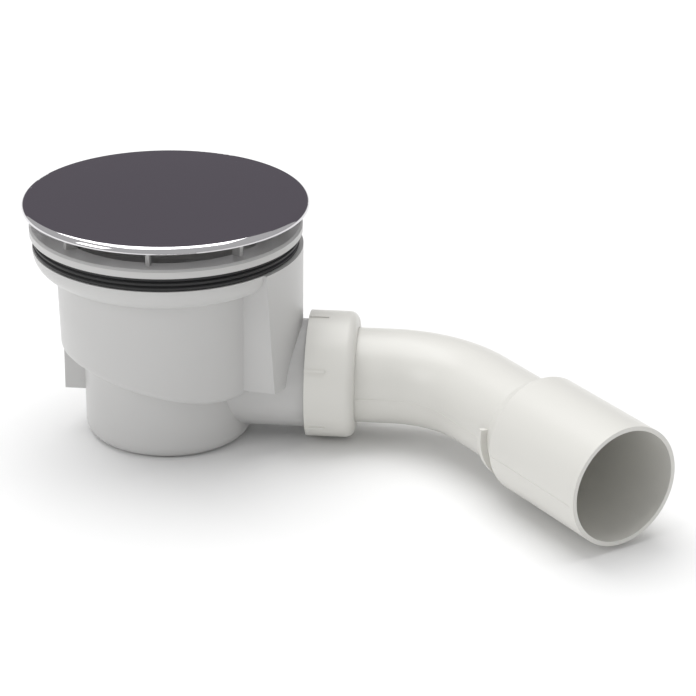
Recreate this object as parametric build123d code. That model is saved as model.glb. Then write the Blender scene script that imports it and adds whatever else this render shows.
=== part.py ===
"""Shower trap for a 90 mm tray outlet: cup body with sump, clamped flange, dip tube, cover and bent outlet."""
from build123d import *
import math
import os

# Frame: +Z up, origin at the centre of the sump's underside, +X along the outlet branch.

# Driving dimensions in millimetres
wall = 2.6

# Sump and weir
sump_radius = 35.5
sump_edge_round = 5.5
weir_top = 60.2

# Cup with its ramped floor
cup_top_wall = 1.2
cup_low_radius = 44.6
cup_crease_height = 73.9
floor_flat_height = 27.1
floor_slope_deg = 12.6
floor_turn_x = 22.0
floor_high_turn_x = -31.0
floor_turn_radius = 60.0
floor_edge_round = 3.0
bore_top_radius = 44.8

# Rim, seal and flange
rim_width = 10.8
rim_top = 84.0
seal_inset = 0.3
rim_lip = 0.5
seal_height = 6.1
seal_ridges = 3
seal_ridge_depth = 0.7
flange_overhang = 1.1
flange_thickness = 3.6
flange_mouth_flare = 3.0
flange_fall = 1.4
neck_wall = 2.5
neck_length = 16.0
neck_ledge = 3.5
neck_ledge_thickness = 1.6
neck_clearance = 0.3
fin_count = 8
fin_width = 1.6
fin_setback = 0.6
fin_length = 5.0

# Outlet chamber beside the cup
chamber_overhang = 1.4
chamber_root_x = 30.0
chamber_root_half_top = 27.0
chamber_root_half_low = 26.6
chamber_flare_top_deg = 24.4
chamber_flare_low_deg = 10.2
chamber_bottom = 30.1

# Stiffening rib opposite the outlet
rib_bottom = 15.9
rib_thickness = 3.0
rib_radius = 44.6

# Outlet branch, union nut and bent pipe
outlet_height = 27.3
branch_radius = 22.9
branch_bore_radius = 20.3
branch_end_x = 72.0
thread_radius = 24.1
thread_start_x = 61.0
nut_start_x = 60.0
nut_length = 20.5
nut_radius = 26.7
nut_corner_round = 4.2
nut_face_thickness = 3.2
nut_clearance = 0.25
nut_rib_count = 6
nut_rib_length = 8.5
nut_rib_width = 1.2
nut_rib_height = 0.6
nut_rib_turn_deg = 5.0
slip_ring_thickness = 1.2
pipe_radius = 20.0
pipe_wall = 1.8
pipe_start_x = 58.0
bend_start_x = 94.9
bend_radius = 48.1
bend_deg = 52.35
leg_length = 33.0
bell_cone_length = 8.0
bell_radius = 25.0
bell_length = 54.3
lug_width = 2.2
lug_arc_deg = 70.0
lug_start_deg = -10.0
lug_gap = 0.8
lug_stand_out = 3.0
pipe_clearance = 0.2

# Dip tube with its ring seal
dip_collar_height = 6.5
dip_collar_wall = 4.5
dip_clearance = 0.3
dip_tube_radius = 25.0
dip_tube_wall = 2.0
dip_tube_bottom = 10.7
dip_cone_bottom = 65.7
grip_width = 3.0
grip_height = 5.0
ring_seal_radius = 1.2

# Cover
cover_overhang = 2.9
cover_edge_height = 101.5
cover_shoulder_rise = 2.7
cover_shoulder_inset = 2.8
cover_crown = 3.0
cover_thickness = 1.8
cover_clearance = 0.05

# Worked out from the driving dimensions
sump_bore = sump_radius - wall
cup_top_radius = bore_top_radius + cup_top_wall
rim_radius = bore_top_radius + rim_width
seal_radius = rim_radius - seal_inset
flange_radius = rim_radius + flange_overhang
chamber_radius = rim_radius + chamber_overhang
cover_radius = flange_radius + cover_overhang
flange_bottom = rim_top + seal_height
flange_top = flange_bottom + flange_thickness
neck_radius = bore_top_radius - neck_clearance
neck_bore_radius = neck_radius - neck_wall
flange_mouth_radius = neck_bore_radius + flange_mouth_flare
fin_inner_radius = flange_mouth_radius + fin_setback
fin_outer_radius = fin_inner_radius + fin_length
neck_bottom = flange_bottom - neck_length
dip_seat = neck_bottom + neck_ledge_thickness
dip_collar_radius = neck_bore_radius - dip_clearance
pipe_bore = pipe_radius - pipe_wall
nut_end_x = nut_start_x + nut_length
reach = 2 * chamber_radius
bend_heading = Vector(math.cos(math.radians(bend_deg)), -math.sin(math.radians(bend_deg)), 0)
bend_end = Vector(
    bend_start_x + bend_radius * math.sin(math.radians(bend_deg)),
    -bend_radius * (1 - math.cos(math.radians(bend_deg))),
    outlet_height,
)
cover_sphere_radius = ((cover_radius - cover_shoulder_inset) ** 2 + cover_crown**2) / (2 * cover_crown)
cover_top = cover_edge_height + cover_shoulder_rise + cover_crown


def turned(*edges):
    """Solid of revolution about Z from a closed profile of (radius, height) edges."""
    return revolve(Plane.XZ * make_face(list(edges)), Axis.Z)


def turned_points(*points):
    """Solid of revolution about Z from the corners (radius, height) of its profile."""
    return revolve(Plane.XZ * make_face(Polyline(*points, close=True)), Axis.Z)


def tube(radius, low, high):
    """Solid cylinder about Z between two heights."""
    return Pos(0, 0, low) * Cylinder(radius, high - low, align=(Align.CENTER, Align.CENTER, Align.MIN))


def along_x(radius, start, end):
    """Solid cylinder about the outlet axis between two places along X."""
    lying = Cylinder(radius, end - start, align=(Align.CENTER, Align.CENTER, Align.MIN))
    return Pos(start, 0, outlet_height) * Rot(0, 90, 0) * lying


def below_floor(raise_by):
    """Everything under the ramped floor: a slope that eases into a level run towards the outlet."""
    slope = math.radians(floor_slope_deg)
    tangent = floor_turn_radius * math.tan(slope / 2)
    low = floor_flat_height + raise_by
    high = low + (floor_turn_x - floor_high_turn_x) * math.tan(slope)
    run = (tangent * math.cos(slope), tangent * math.sin(slope))
    sag = floor_turn_radius * (1 - math.cos(slope / 2))
    half_run = floor_turn_radius * math.sin(slope / 2)
    low_level = (floor_turn_x + tangent, low)
    low_mid = (low_level[0] - half_run, low + sag)
    low_ramp = (floor_turn_x - run[0], low + run[1])
    high_ramp = (floor_high_turn_x + run[0], high - run[1])
    high_level = (floor_high_turn_x - tangent, high)
    high_mid = (high_level[0] + half_run, high - sag)
    profile = make_face([
        Line((-reach, -reach), (reach, -reach)),
        Line((reach, -reach), (reach, low)),
        Line((reach, low), low_level),
        ThreePointArc(low_level, low_mid, low_ramp),
        Line(low_ramp, high_ramp),
        ThreePointArc(high_ramp, high_mid, high_level),
        Line(high_level, (-reach, high)),
        Line((-reach, high), (-reach, -reach)),
    ])
    return extrude(Plane.XZ * profile, amount=reach, both=True)


def chamber_plan(inset, height):
    """Plan of the outlet chamber at a height, its side walls flaring more towards the rim."""
    share = (height - chamber_bottom) / (rim_top - chamber_bottom)
    root = chamber_root_half_low + (chamber_root_half_top - chamber_root_half_low) * share - inset
    flare = chamber_flare_low_deg + (chamber_flare_top_deg - chamber_flare_low_deg) * share
    outer_x = chamber_radius + wall
    outer = root + (outer_x - chamber_root_x) * math.tan(math.radians(flare))
    corners = [(chamber_root_x, -root), (outer_x, -outer), (outer_x, outer), (chamber_root_x, root)]
    return Pos(0, 0, height) * make_face(Polyline(*corners, close=True))


def chamber_prism(inset, low, high):
    """Outlet chamber between two heights, closed by a wall concentric with the cup."""
    prism = loft([chamber_plan(inset, low), chamber_plan(inset, high)], ruled=True)
    return prism & tube(chamber_radius - inset, low, high)


def trap_body():
    """Moulded body: rim, cup, sump with its weir, outlet chamber, outlet branch and rib."""
    rim_drop = rim_top - rim_lip
    bowl_mid = (
        cup_top_radius + (rim_radius - cup_top_radius) * math.cos(math.pi / 4),
        rim_drop - (rim_drop - cup_crease_height) * math.sin(math.pi / 4),
    )
    cup = turned(
        Line((0, 0), (cup_low_radius, 0)),
        Line((cup_low_radius, 0), (cup_low_radius, floor_flat_height)),
        Line((cup_low_radius, floor_flat_height), (cup_top_radius, cup_crease_height)),
        ThreePointArc((cup_top_radius, cup_crease_height), bowl_mid, (rim_radius, rim_drop)),
        Line((rim_radius, rim_drop), (rim_radius, rim_top)),
        Line((rim_radius, rim_top), (0, rim_top)),
        Line((0, rim_top), (0, 0)),
    ) - below_floor(0)
    curved = [
        e
        for e in cup.edges()
        if e.center().Z < weir_top
        and e.geom_type != GeomType.LINE
        and all(abs(math.hypot(v.X, v.Y) - cup_low_radius) < wall for v in e.vertices())
    ]
    cup = fillet(curved, floor_edge_round)

    sump = turned(
        Line((0, 0), (sump_radius - sump_edge_round, 0)),
        ThreePointArc(
            (sump_radius - sump_edge_round, 0),
            (sump_radius - sump_edge_round * (1 - math.sin(math.pi / 4)), sump_edge_round * (1 - math.cos(math.pi / 4))),
            (sump_radius, sump_edge_round),
        ),
        Line((sump_radius, sump_edge_round), (sump_radius, weir_top)),
        Line((sump_radius, weir_top), (0, weir_top)),
        Line((0, weir_top), (0, 0)),
    )
    chamber = chamber_prism(0, chamber_bottom, rim_top)
    branch = along_x(branch_radius, 0, branch_end_x) + along_x(thread_radius, thread_start_x, branch_end_x)
    rib = Pos(-rib_radius, 0, rib_bottom) * Box(
        rib_radius, rib_thickness, weir_top - rib_bottom, align=(Align.MIN, Align.CENTER, Align.MIN)
    )
    rib = rib & tube(rib_radius, rib_bottom, weir_top)

    cup_hollow = turned_points(
        (0, 0),
        (cup_low_radius - wall, 0),
        (cup_low_radius - wall, floor_flat_height),
        (bore_top_radius, cup_crease_height),
        (bore_top_radius, rim_top),
        (0, rim_top),
    ) - below_floor(wall)
    chamber_hollow = chamber_prism(wall, chamber_bottom + wall, cup_crease_height)
    branch_hollow = along_x(branch_bore_radius, 0, branch_end_x)
    inside_round = sump_edge_round - wall
    sump_hollow = turned(
        Line((0, wall), (sump_bore - inside_round, wall)),
        ThreePointArc(
            (sump_bore - inside_round, wall),
            (sump_bore - inside_round * (1 - math.sin(math.pi / 4)), wall + inside_round * (1 - math.cos(math.pi / 4))),
            (sump_bore, wall + inside_round),
        ),
        Line((sump_bore, wall + inside_round), (sump_bore, weir_top)),
        Line((sump_bore, weir_top), (0, weir_top)),
        Line((0, weir_top), (0, wall)),
    )
    shell = cup + chamber + branch + rib - cup_hollow - chamber_hollow - branch_hollow
    return shell + sump - sump_hollow


def profile_seal():
    """Rubber ring between rim and flange, ridged round its edge."""
    pitch = seal_height / seal_ridges
    corners = [(bore_top_radius, rim_top)]
    for ridge in range(seal_ridges):
        low = rim_top + ridge * pitch
        corners += [
            (seal_radius - seal_ridge_depth, low),
            (seal_radius, low + 0.3 * pitch),
            (seal_radius, low + 0.7 * pitch),
        ]
    corners += [(seal_radius - seal_ridge_depth, flange_bottom), (bore_top_radius, flange_bottom)]
    return turned_points(*corners)


def cover_underside(radius):
    """Height of the cover's inner face at a radius, under its shallow spherical crown."""
    drop = cover_sphere_radius - math.sqrt(cover_sphere_radius**2 - radius**2)
    return cover_top - cover_thickness - drop


def flange_ring():
    """Clamping flange with its threaded neck, and the ring of fins that carries the cover."""
    ring = turned_points(
        (neck_bore_radius, dip_seat),
        (neck_bore_radius - neck_ledge, dip_seat),
        (neck_bore_radius - neck_ledge, neck_bottom),
        (neck_radius, neck_bottom),
        (neck_radius, flange_bottom),
        (flange_radius, flange_bottom),
        (flange_radius, flange_top - flange_thickness * 0.25),
        (flange_radius - flange_thickness * 0.25, flange_top),
        (flange_mouth_radius, flange_top - flange_fall),
        (neck_bore_radius, flange_bottom - flange_fall),
    )
    fin_top = cover_underside(fin_outer_radius) - cover_clearance
    fin = Pos(fin_inner_radius, 0, flange_top - flange_thickness / 2) * Box(
        fin_outer_radius - fin_inner_radius,
        fin_width,
        fin_top - flange_top + flange_thickness / 2,
        align=(Align.MIN, Align.CENTER, Align.MIN),
    )
    for place in range(fin_count):
        ring = ring + Rot(0, 0, 360 / fin_count * place) * fin
    return ring


def dip_tube():
    """Lift-out insert: collar with a ring groove, funnel, immersed tube and a grip bar."""
    collar_top = dip_seat + dip_collar_height
    collar_bore = dip_collar_radius - dip_collar_wall
    funnel = turned_points(
        (dip_collar_radius, dip_seat),
        (dip_collar_radius, collar_top),
        (collar_bore, collar_top),
        (collar_bore, dip_seat + dip_tube_wall),
        (dip_tube_radius - dip_tube_wall, dip_cone_bottom),
        (dip_tube_radius - dip_tube_wall, dip_tube_bottom),
        (dip_tube_radius, dip_tube_bottom),
        (dip_tube_radius, dip_cone_bottom),
        (neck_bore_radius - neck_ledge - dip_clearance, dip_seat),
    )
    groove_middle = dip_seat + dip_collar_height / 2
    groove = tube(reach, groove_middle - ring_seal_radius, groove_middle + ring_seal_radius) - tube(
        dip_collar_radius - 2 * ring_seal_radius,
        groove_middle - ring_seal_radius,
        groove_middle + ring_seal_radius,
    )
    grip = Pos(0, 0, collar_top - grip_height) * Box(
        2 * collar_bore + dip_collar_wall, grip_width, grip_height, align=(Align.CENTER, Align.CENTER, Align.MIN)
    )
    return funnel - groove + grip


def dip_tube_seal():
    """Rubber ring in the groove of the dip tube's collar."""
    ring = Torus(dip_collar_radius - ring_seal_radius + dip_clearance / 2, ring_seal_radius - dip_clearance / 4)
    return Pos(0, 0, dip_seat + dip_collar_height / 2) * ring


def cover_cap():
    """Thin domed cover with a rounded shoulder and an open underside."""
    shoulder = cover_radius - cover_shoulder_inset
    crown_base = cover_edge_height + cover_shoulder_rise
    diagonal = math.sin(math.pi / 4)

    def crown(radius, lower):
        return cover_sphere_radius - math.sqrt(cover_sphere_radius**2 - radius**2), lower

    half = shoulder / 2
    half_drop = crown(half, 0)[0]
    inner_edge = cover_radius - cover_thickness
    return turned(
        ThreePointArc((0, cover_top), (half, cover_top - half_drop), (shoulder, crown_base)),
        ThreePointArc(
            (shoulder, crown_base),
            (shoulder + cover_shoulder_inset * diagonal, crown_base - cover_shoulder_rise * (1 - diagonal)),
            (cover_radius, cover_edge_height),
        ),
        Line((cover_radius, cover_edge_height), (inner_edge, cover_edge_height)),
        ThreePointArc(
            (inner_edge, cover_edge_height),
            (
                shoulder + (cover_shoulder_inset - cover_thickness) * diagonal,
                crown_base - cover_thickness - (cover_shoulder_rise - cover_thickness) * (1 - diagonal),
            ),
            (shoulder, crown_base - cover_thickness),
        ),
        ThreePointArc(
            (shoulder, crown_base - cover_thickness),
            (half, cover_top - half_drop - cover_thickness),
            (0, cover_top - cover_thickness),
        ),
        Line((0, cover_top - cover_thickness), (0, cover_top)),
    )


def lying(solid, x):
    """Turns a solid made about Z so that its axis is the outlet axis, its foot at x."""
    return Pos(x, 0, outlet_height) * Rot(0, 90, 0) * solid


def union_nut():
    """Union nut: threaded skirt, rounded face with a pipe hole and short grip ribs."""
    skirt_bore = thread_radius + nut_clearance
    face_start = nut_length - nut_face_thickness
    rounding = nut_corner_round * math.sin(math.pi / 4)
    corner_mid = (nut_radius - nut_corner_round + rounding, nut_length - nut_corner_round + rounding)
    nut = turned(
        Line((skirt_bore, 0), (nut_radius, 0)),
        Line((nut_radius, 0), (nut_radius, nut_length - nut_corner_round)),
        ThreePointArc(
            (nut_radius, nut_length - nut_corner_round), corner_mid, (nut_radius - nut_corner_round, nut_length)
        ),
        Line((nut_radius - nut_corner_round, nut_length), (pipe_radius + pipe_clearance, nut_length)),
        Line((pipe_radius + pipe_clearance, nut_length), (pipe_radius + pipe_clearance, face_start)),
        Line((pipe_radius + pipe_clearance, face_start), (skirt_bore, face_start)),
        Line((skirt_bore, face_start), (skirt_bore, 0)),
    )
    rib = Pos(nut_radius - wall, 0, 0) * Box(
        wall + nut_rib_height, nut_rib_width, nut_rib_length, align=(Align.MIN, Align.CENTER, Align.MIN)
    )
    for place in range(nut_rib_count):
        nut = nut + Rot(0, 0, nut_rib_turn_deg + 360 / nut_rib_count * place) * rib
    return lying(nut, nut_start_x)


def ring_about_pipe(start, end):
    """Flat ring round the pipe, inside the nut's skirt, between two places along X."""
    height = end - start
    ring = tube(thread_radius, 0, height) - tube(pipe_radius + pipe_clearance, 0, height)
    return lying(ring, start)


def slip_ring():
    """Hard washer that lets the nut's face turn on the rubber ring."""
    end = nut_end_x - nut_face_thickness
    return ring_about_pipe(end - slip_ring_thickness, end)


def pipe_seal():
    """Rubber ring squeezed between the branch's end and the washer."""
    return ring_about_pipe(branch_end_x, nut_end_x - nut_face_thickness - slip_ring_thickness)


def bent_rod(radius, end_radius, extra):
    """Solid along the outlet pipe's centre line, widened to the bell at its far end."""
    straight = along_x(radius, pipe_start_x - extra, bend_start_x)
    disc = Plane(origin=(bend_start_x, 0, outlet_height), z_dir=(1, 0, 0)) * Circle(radius)
    turn_axis = Axis((bend_start_x, -bend_radius, outlet_height), (0, 0, -1))
    turn = revolve(disc, turn_axis, bend_deg)
    cone_end = leg_length + bell_cone_length
    leg = turned_points(
        (0, 0),
        (radius, 0),
        (radius, leg_length),
        (end_radius, cone_end),
        (end_radius, cone_end + bell_length + extra),
        (0, cone_end + bell_length + extra),
    )
    return straight + turn + Plane(origin=bend_end, z_dir=bend_heading) * leg


def outlet_bend():
    """Bent outlet pipe with a widened end and a small lug at the widening."""
    front = Vector(bend_heading.Y, -bend_heading.X, 0)
    place = Plane(origin=bend_end, x_dir=front, z_dir=bend_heading)
    section = Plane.XZ * Pos(pipe_bore, leg_length - lug_gap - lug_width) * Rectangle(
        pipe_wall + lug_stand_out, lug_width, align=(Align.MIN, Align.MIN)
    )
    lug = place * Rot(0, 0, lug_start_deg) * revolve(section, Axis.Z, lug_arc_deg)
    hollow = bent_rod(pipe_bore, bell_radius - pipe_wall, wall)
    return bent_rod(pipe_radius, bell_radius, 0) + lug - hollow


PIECES = {
    "trap_body": trap_body,
    "profile_seal": profile_seal,
    "flange_ring": flange_ring,
    "dip_tube": dip_tube,
    "dip_tube_seal": dip_tube_seal,
    "cover_cap": cover_cap,
    "union_nut": union_nut,
    "slip_ring": slip_ring,
    "pipe_seal": pipe_seal,
    "outlet_bend": outlet_bend,
}


def main():
    os.makedirs("parts", exist_ok=True)
    for name, make in PIECES.items():
        export_step(make(), f"parts/{name}.step")


if __name__ == "__main__":
    main()
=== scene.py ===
"""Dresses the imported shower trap: plastic, chrome and rubber finishes, mould seams, stage and camera."""
import math

import bpy
import numpy as np
from mathutils import Matrix, Vector


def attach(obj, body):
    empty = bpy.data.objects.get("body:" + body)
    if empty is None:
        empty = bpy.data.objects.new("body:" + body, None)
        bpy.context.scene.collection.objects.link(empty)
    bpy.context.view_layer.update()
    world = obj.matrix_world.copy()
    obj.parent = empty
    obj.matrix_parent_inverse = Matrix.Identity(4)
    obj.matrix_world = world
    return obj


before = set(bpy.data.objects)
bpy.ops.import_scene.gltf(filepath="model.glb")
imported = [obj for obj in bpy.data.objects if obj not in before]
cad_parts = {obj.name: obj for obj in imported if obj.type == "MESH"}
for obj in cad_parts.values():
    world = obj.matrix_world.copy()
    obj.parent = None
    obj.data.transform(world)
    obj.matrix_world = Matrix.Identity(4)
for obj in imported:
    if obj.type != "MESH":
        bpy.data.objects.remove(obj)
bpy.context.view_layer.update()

bl_info = {
    "name": "Shower trap",
    "version": (1, 0, 0),
    "blender": (4, 5, 0),
    "location": "View3D > Sidebar > Shower trap",
    "description": "Finishes, mould seams and studio for a shower trap",
    "category": "Object",
}

BODY = "root"

BODY_NODES = ("trap_body", "flange_ring", "dip_tube")
PIPE_NODES = ("outlet_bend", "union_nut", "slip_ring")
RUBBER_NODES = ("profile_seal", "dip_tube_seal", "pipe_seal")
CHROME_NODES = ("cover_cap",)


def length(name, description, default):
    """Property for a size in metres."""
    return bpy.props.FloatProperty(name=name, description=description, default=default, unit="LENGTH", precision=5)


def angle(name, description, degrees):
    """Property for an angle, given in degrees."""
    return bpy.props.FloatProperty(
        name=name, description=description, default=math.radians(degrees), subtype="ANGLE", unit="ROTATION"
    )


def number(name, description, default):
    """Property for a plain number."""
    return bpy.props.FloatProperty(name=name, description=description, default=default)


def colour(name, description, default):
    """Property for a linear colour."""
    return bpy.props.FloatVectorProperty(
        name=name, description=description, default=default, subtype="COLOR", size=3, min=0.0, max=1.0
    )


class TrapFinish(bpy.types.PropertyGroup):
    """Colours and gloss of the finishes."""

    body_colour: colour("Body", "Plastic of the body, flange and insert", (0.60, 0.597, 0.59))
    pipe_colour: colour("Pipe", "Plastic of the outlet pipe and nut", (0.74, 0.732, 0.695))
    chrome_colour: colour("Chrome", "Plating of the cover", (0.74, 0.73, 0.75))
    rubber_colour: colour("Rubber", "Seals", (0.012, 0.012, 0.013))
    plastic_roughness: number("Plastic roughness", "Gloss of the moulded plastic", 0.34)
    chrome_roughness: number("Chrome roughness", "Gloss of the plating", 0.07)
    rubber_roughness: number("Rubber roughness", "Gloss of the seals", 0.5)
    grain_scale: number("Grain scale", "Waves of the surface grain in a metre", 260.0)


class TrapSeams(bpy.types.PropertyGroup):
    """Centre line of the outlet pipe and the seam ridges left by its mould."""

    start: length("Start", "Place along X where the seam comes out of the nut", 0.0806)
    bend_start: length("Bend start", "Place along X where the bend begins", 0.0949)
    bend_radius: length("Bend radius", "Radius of the pipe's centre line in the bend", 0.0481)
    bend: angle("Bend", "Angle of the bend", 52.35)
    leg: length("Leg", "From the bend to the widening", 0.033)
    cone: length("Widening", "Length of the widening", 0.008)
    end: length("End", "From the bend to where the seam fades before the mouth", 0.0935)
    axis_height: length("Axis height", "Height of the pipe's axis", 0.0273)
    pipe_radius: length("Pipe radius", "Outside radius of the pipe", 0.020)
    bell_radius: length("Bell radius", "Outside radius of the widened end", 0.025)
    width: length("Seam width", "Width of the ridge", 0.0007)
    height: length("Seam height", "How far the ridge stands out", 0.00016)
    drop: angle("Seam drop", "How far the seam lies below the axis", 7.0)


class TrapStage(bpy.types.PropertyGroup):
    """Camera, floor and lights."""

    target: bpy.props.FloatVectorProperty(
        name="Target", description="Point that the camera turns about", default=(0.0, 0.0, 0.0649), subtype="XYZ"
    )
    azimuth: angle("Azimuth", "Camera's turn about the vertical", 8.867)
    elevation: angle("Elevation", "Camera's height above the horizon", 22.215)
    roll: angle("Roll", "Camera's turn about its own axis", -0.984)
    yaw: angle("Yaw", "Sideways offset of the picture's centre from the target", -4.070)
    pitch: angle("Pitch", "Upward offset of the picture's centre from the target", 1.442)
    distance: length("Distance", "From the camera to the target", 1.0666)
    lens: number("Lens", "Focal length in millimetres", 131.24)
    floor_size: length("Floor", "Side of the floor", 12.0)
    floor_colour: colour("Floor colour", "Pale floor", (0.93, 0.93, 0.93))
    world_strength: number("World", "Strength of the even light", 0.5)
    key_power: number("Key", "Power of the large light overhead, in watts", 80.0)
    fill_power: number("Fill", "Power of the light from the left, in watts", 4.0)
    card_colour: colour("Card", "Dark card mirrored by the cover", (0.125, 0.114, 0.132))


def settings():
    """The scene's three groups of values."""
    scene = bpy.context.scene
    return scene.trap_finish, scene.trap_seams, scene.trap_stage


def grain_group():
    """Node group: fine unevenness on object coordinates, as a height for bumps and a varied roughness."""
    found = bpy.data.node_groups.get("fine_grain")
    if found:
        return found
    group = bpy.data.node_groups.new("fine_grain", "ShaderNodeTree")
    for name in ("Scale", "Roughness", "Variation"):
        group.interface.new_socket(name, in_out="INPUT", socket_type="NodeSocketFloat")
    for name in ("Height", "Roughness"):
        group.interface.new_socket(name, in_out="OUTPUT", socket_type="NodeSocketFloat")
    nodes, links = group.nodes, group.links
    given, out = nodes.new("NodeGroupInput"), nodes.new("NodeGroupOutput")
    place, noise = nodes.new("ShaderNodeTexCoord"), nodes.new("ShaderNodeTexNoise")
    centred, spread = nodes.new("ShaderNodeMath"), nodes.new("ShaderNodeMath")
    centred.operation = "SUBTRACT"
    centred.inputs[1].default_value = 0.5
    spread.operation = "MULTIPLY_ADD"
    links.new(place.outputs["Object"], noise.inputs["Vector"])
    links.new(given.outputs["Scale"], noise.inputs["Scale"])
    links.new(noise.outputs["Fac"], centred.inputs[0])
    links.new(centred.outputs[0], spread.inputs[0])
    links.new(given.outputs["Variation"], spread.inputs[1])
    links.new(given.outputs["Roughness"], spread.inputs[2])
    links.new(noise.outputs["Fac"], out.inputs["Height"])
    links.new(spread.outputs[0], out.inputs["Roughness"])
    return group


def finish(name, tint, roughness, variation, bump, metallic=0.0, specular=0.5):
    """Material with the fine grain in its roughness and normal."""
    material = bpy.data.materials.new(name)
    material.use_nodes = True
    nodes, links = material.node_tree.nodes, material.node_tree.links
    shader = nodes["Principled BSDF"]
    shader.inputs["Base Color"].default_value = (*tint, 1.0)
    shader.inputs["Metallic"].default_value = metallic
    shader.inputs["Specular IOR Level"].default_value = specular
    grain, ripple = nodes.new("ShaderNodeGroup"), nodes.new("ShaderNodeBump")
    grain.node_tree = grain_group()
    grain.inputs["Scale"].default_value = settings()[0].grain_scale
    grain.inputs["Roughness"].default_value = roughness
    grain.inputs["Variation"].default_value = variation
    ripple.inputs["Strength"].default_value = bump
    ripple.inputs["Distance"].default_value = 0.0002
    links.new(grain.outputs["Roughness"], shader.inputs["Roughness"])
    links.new(grain.outputs["Height"], ripple.inputs["Height"])
    links.new(ripple.outputs["Normal"], shader.inputs["Normal"])
    return material


def plain(name, tint, glow=0.0):
    """Plain matt material, or one that only glows."""
    material = bpy.data.materials.new(name)
    material.use_nodes = True
    shader = material.node_tree.nodes["Principled BSDF"]
    shader.inputs["Base Color"].default_value = (*tint, 1.0) if not glow else (0.0, 0.0, 0.0, 1.0)
    shader.inputs["Roughness"].default_value = 0.9
    shader.inputs["Specular IOR Level"].default_value = 0.0
    shader.inputs["Emission Color"].default_value = (*tint, 1.0)
    shader.inputs["Emission Strength"].default_value = glow
    return material


def paint(names, material):
    """Puts one material on CAD nodes."""
    for name in names:
        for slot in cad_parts[name].material_slots:
            slot.material = material


def mesh_object(name, points, faces, material, smooth=True):
    """Object at the origin from points and faces."""
    mesh = bpy.data.meshes.new(name)
    mesh.from_pydata(points, [], faces)
    mesh.polygons.foreach_set("use_smooth", [smooth] * len(mesh.polygons))
    mesh.materials.append(material)
    mesh.update()
    thing = bpy.data.objects.new(name, mesh)
    bpy.context.scene.collection.objects.link(thing)
    return thing


def pipe_line(values, steps=40):
    """Points, headings and outside radii along the pipe: straight, arc of the bend radius, straight with widening."""
    lead = np.linspace(values.start, values.bend_start, 6)[:-1]
    turn = np.linspace(0.0, values.bend, steps)
    run = np.concatenate([
        np.linspace(0.0, values.leg, 8)[1:],
        np.linspace(values.leg, values.leg + values.cone, 6)[1:],
        np.linspace(values.leg + values.cone, values.end, 12)[1:],
    ])
    heading = np.array([math.cos(values.bend), -math.sin(values.bend)])
    arc = np.stack([
        values.bend_start + values.bend_radius * np.sin(turn), -values.bend_radius * (1 - np.cos(turn))
    ], axis=1)
    points = np.concatenate([np.stack([lead, 0 * lead], axis=1), arc, arc[-1] + run[:, None] * heading])
    turned = np.concatenate([0 * lead, turn, 0 * run + values.bend])
    headings = np.stack([np.cos(turned), -np.sin(turned)], axis=1)
    widening = np.clip((run - values.leg) / values.cone, 0.0, 1.0)
    radii = values.pipe_radius + (values.bell_radius - values.pipe_radius) * np.concatenate(
        [np.zeros(len(lead) + len(turn)), widening]
    )
    return points, headings, radii


def seam_surface(values, side, around=10):
    """Closed ridge S(s, p) = C(s) + R(s) n + f(s) (h cos p n + w/2 sin p t), n outward at the seam, t across it.

    The factor f falls to nothing at both ends, so the ridge fades out of the pipe's surface and back into it.
    """
    points, headings, radii = pipe_line(values)
    cos_drop, sin_drop = math.cos(values.drop), math.sin(values.drop)
    flat = side * np.stack([headings[:, 1], -headings[:, 0]], axis=1)
    outward = np.column_stack([flat * cos_drop, np.full(len(flat), -sin_drop)])
    across = np.column_stack([flat * sin_drop, np.full(len(flat), cos_drop)])
    centre = np.column_stack([points, np.full(len(points), values.axis_height)]) + radii[:, None] * outward
    fade = np.ones(len(points))
    fade[[0, -1]] = 0.02
    p = np.linspace(0.0, 2 * math.pi, around, endpoint=False)
    ring = values.height * np.cos(p)[None, :, None] * outward[:, None, :]
    ring = ring + values.width / 2 * np.sin(p)[None, :, None] * across[:, None, :]
    grid = centre[:, None, :] + fade[:, None, None] * ring
    rows = len(points)
    faces = []
    for i in range(rows - 1):
        for j in range(around):
            k = (j + 1) % around
            quad = (i * around + j, i * around + k, (i + 1) * around + k, (i + 1) * around + j)
            faces.append(quad if side > 0 else quad[::-1])
    first, last = tuple(range(around)), tuple((rows - 1) * around + j for j in range(around))
    faces += [first[::-1], last] if side > 0 else [first, last[::-1]]
    return grid.reshape(-1, 3), faces


class TRAP_OT_finishes(bpy.types.Operator):
    """Put plastic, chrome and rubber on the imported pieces"""

    bl_idname = "trap.finishes"
    bl_label = "Finishes"

    def execute(self, context):
        look = settings()[0]
        paint(BODY_NODES, finish("plastic_body", look.body_colour, look.plastic_roughness, 0.06, 0.02))
        paint(PIPE_NODES, finish("plastic_pipe", look.pipe_colour, look.plastic_roughness, 0.06, 0.02))
        paint(RUBBER_NODES, finish("rubber", look.rubber_colour, look.rubber_roughness, 0.15, 0.1))
        paint(CHROME_NODES, finish("chrome", look.chrome_colour, look.chrome_roughness, 0.02, 0.0, metallic=1.0))
        return {"FINISHED"}


class TRAP_OT_seams(bpy.types.Operator):
    """Add the mould's seam ridges on both sides of the outlet pipe"""

    bl_idname = "trap.seams"
    bl_label = "Mould seams"

    def execute(self, context):
        values = settings()[1]
        for name, side in (("seam_front", 1), ("seam_back", -1)):
            points, faces = seam_surface(values, side)
            seam = mesh_object(name, points.tolist(), faces, bpy.data.materials["plastic_pipe"])
            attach(seam, BODY)
        return {"FINISHED"}


def rectangle(name, corner, side_a, side_b, material):
    """Flat four-cornered stage piece from a corner and two sides."""
    a, b, c = Vector(corner), Vector(side_a), Vector(side_b)
    return mesh_object(name, [a, a + b, a + b + c, a + c], [(0, 1, 2, 3)], material, smooth=False)


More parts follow.
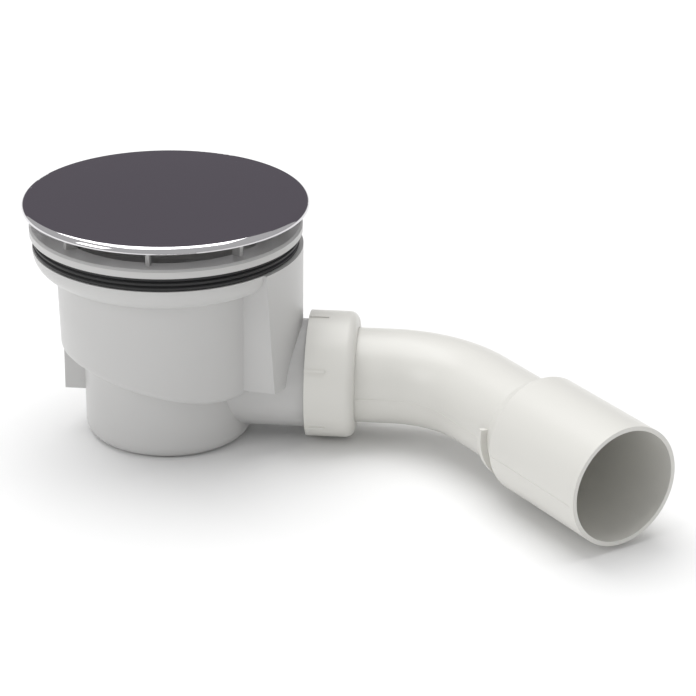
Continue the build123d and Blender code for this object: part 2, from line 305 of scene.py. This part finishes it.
def area_light(name, place, size, power):
    """Square area light that looks at the trap."""
    lamp = bpy.data.lights.new(name, "AREA")
    lamp.size = size
    lamp.energy = power
    thing = bpy.data.objects.new(name, lamp)
    thing.location = place
    thing.rotation_euler = (Vector((0.05, -0.02, 0.05)) - Vector(place)).to_track_quat("-Z", "Y").to_euler()
    bpy.context.scene.collection.objects.link(thing)


def camera_matrix(stage):
    """Camera's place and axes from its turn about the target, its roll and the offset of the picture's centre."""
    az, el, roll, yaw, pitch = stage.azimuth, stage.elevation, stage.roll, stage.yaw, stage.pitch
    back = Vector((math.sin(az) * math.cos(el), -math.cos(az) * math.cos(el), math.sin(el)))
    level = Vector((math.cos(az), math.sin(az), 0.0))
    upright = back.cross(level)
    right = math.cos(roll) * level + math.sin(roll) * upright
    up = math.cos(roll) * upright - math.sin(roll) * level
    ahead = -math.cos(yaw) * back - math.sin(yaw) * right
    x_axis = math.cos(yaw) * right - math.sin(yaw) * back
    z_axis = -(math.cos(pitch) * ahead - math.sin(pitch) * up)
    y_axis = math.sin(pitch) * ahead + math.cos(pitch) * up
    turn = Matrix((x_axis, y_axis, z_axis)).transposed().to_4x4()
    return Matrix.Translation(Vector(stage.target) + back * stage.distance) @ turn


class TRAP_OT_stage(bpy.types.Operator):
    """Add the floor, the lights, the card that the cover mirrors and the camera"""

    bl_idname = "trap.stage"
    bl_label = "Stage"

    def execute(self, context):
        stage = settings()[2]
        scene = context.scene
        half = stage.floor_size / 2
        floor = rectangle(
            "floor", (-half, -half, 0), (2 * half, 0, 0), (0, 2 * half, 0), plain("floor", stage.floor_colour)
        )
        card = rectangle(
            "card", (-0.7, 0.5, 0.12), (1.4, 0, 0), (0, 0, 0.75), plain("card", stage.card_colour, glow=1.0)
        )
        card.visible_camera = card.visible_diffuse = card.visible_shadow = False
        area_light("key", (-0.3, 0.7, 3.0), 3.0, stage.key_power)
        area_light("fill", (-1.2, -0.9, 0.9), 0.7, stage.fill_power)
        world = bpy.data.worlds.new("studio")
        world.use_nodes = True
        world.node_tree.nodes["Background"].inputs["Color"].default_value = (1.0, 1.0, 1.0, 1.0)
        world.node_tree.nodes["Background"].inputs["Strength"].default_value = stage.world_strength
        scene.world = world
        scene.view_settings.view_transform = "Standard"
        lens = bpy.data.cameras.new("camera")
        lens.lens = stage.lens
        lens.clip_start = 0.01
        camera = bpy.data.objects.new("camera", lens)
        scene.collection.objects.link(camera)
        camera.matrix_world = camera_matrix(stage)
        scene.camera = camera
        return {"FINISHED"}


STEPS = (TRAP_OT_finishes, TRAP_OT_seams, TRAP_OT_stage)


class TRAP_PT_panel(bpy.types.Panel):
    """Lists the steps and their values"""

    bl_label = "Shower trap"
    bl_idname = "TRAP_PT_panel"
    bl_space_type = "VIEW_3D"
    bl_region_type = "UI"
    bl_category = "Shower trap"

    def draw(self, context):
        for step, values in zip(STEPS, settings()):
            box = self.layout.box()
            box.operator(step.bl_idname)
            for name in values.__annotations__:
                box.prop(values, name)


GROUPS = {"trap_finish": TrapFinish, "trap_seams": TrapSeams, "trap_stage": TrapStage}


def register():
    for group in GROUPS.values():
        bpy.utils.register_class(group)
    for name, group in GROUPS.items():
        setattr(bpy.types.Scene, name, bpy.props.PointerProperty(type=group))
    for step in STEPS:
        bpy.utils.register_class(step)
    bpy.utils.register_class(TRAP_PT_panel)


def unregister():
    bpy.utils.unregister_class(TRAP_PT_panel)
    for step in reversed(STEPS):
        bpy.utils.unregister_class(step)
    for name, group in GROUPS.items():
        delattr(bpy.types.Scene, name)
        bpy.utils.unregister_class(group)


def main():
    register()
    bpy.ops.trap.finishes()
    bpy.ops.trap.seams()
    bpy.ops.trap.stage()


if __name__ == "__main__":
    main()
